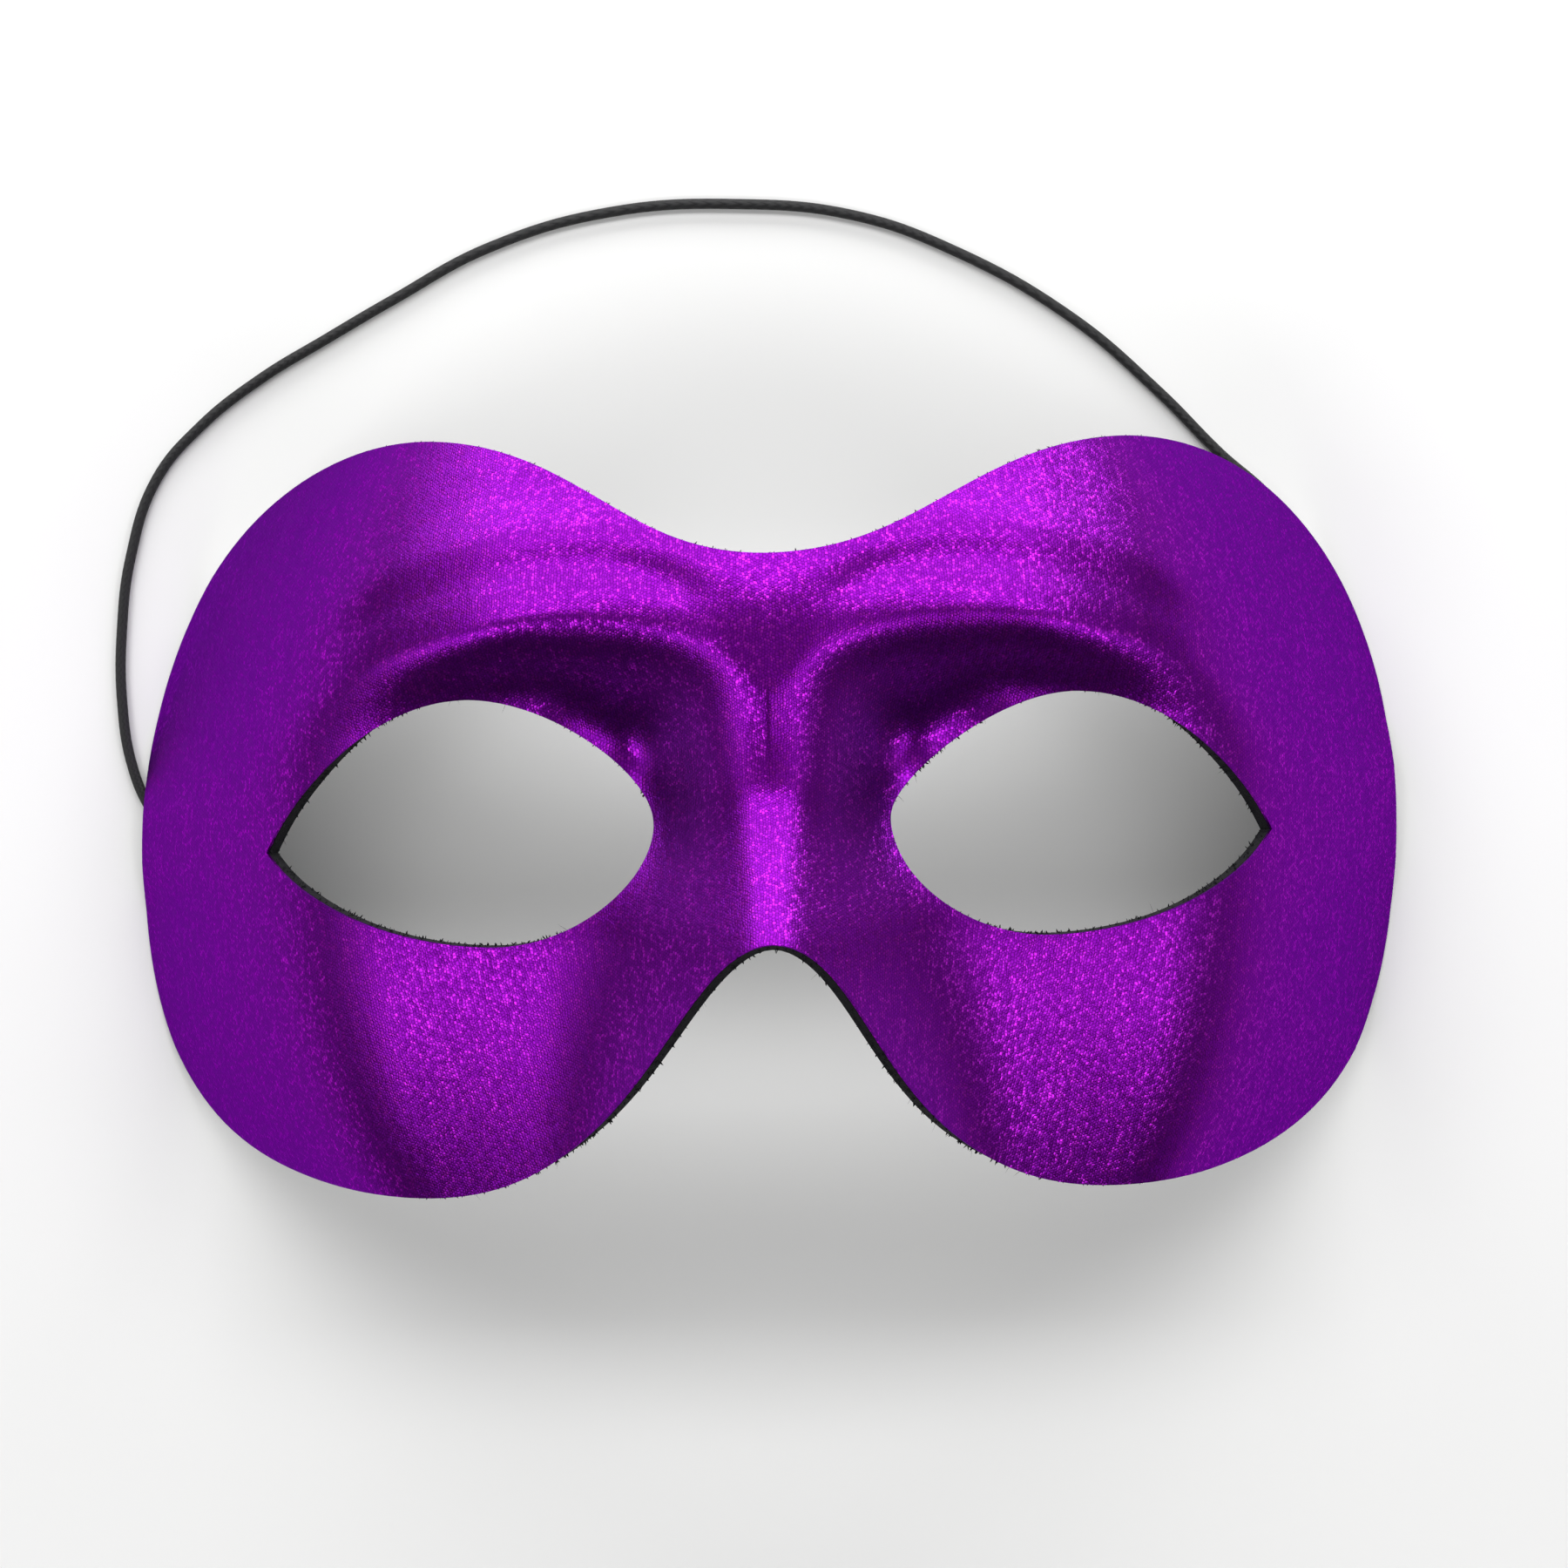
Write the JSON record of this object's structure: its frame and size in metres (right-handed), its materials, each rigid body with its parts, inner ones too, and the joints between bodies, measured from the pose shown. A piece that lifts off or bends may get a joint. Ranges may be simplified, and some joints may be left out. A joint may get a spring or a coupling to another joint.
{
  "type": "half eye mask",
  "caption": "Moulded half mask for the eyes and brow in purple metallic cloth over black felt, with a round elastic cord",
  "frame": {"origin": "middle of the mask's box, on the plane that its two temple rims lie on", "axes": "+X across the face towards the right of the picture, +Y up towards the brow, +Z out of the front of the face and up from the table"},
  "size_m": [0.1822, 0.1387, 0.0712],
  "materials": {
    "foil_cloth": "purple metallic foil on a fine ribbed knit, satin to glossy, with fine sparkle",
    "black_felt": "stiffened black felt, matt and slightly fuzzy",
    "black_elastic": "black braided elastic, matt"
  },
  "bodies": {
    "root": {"face_cloth": "foil_cloth", "felt_backing": "black_felt", "left_anchor_patch": "black_felt", "right_anchor_patch": "black_felt", "elastic_cord": "black_elastic"}
  },
  "joints": []
}
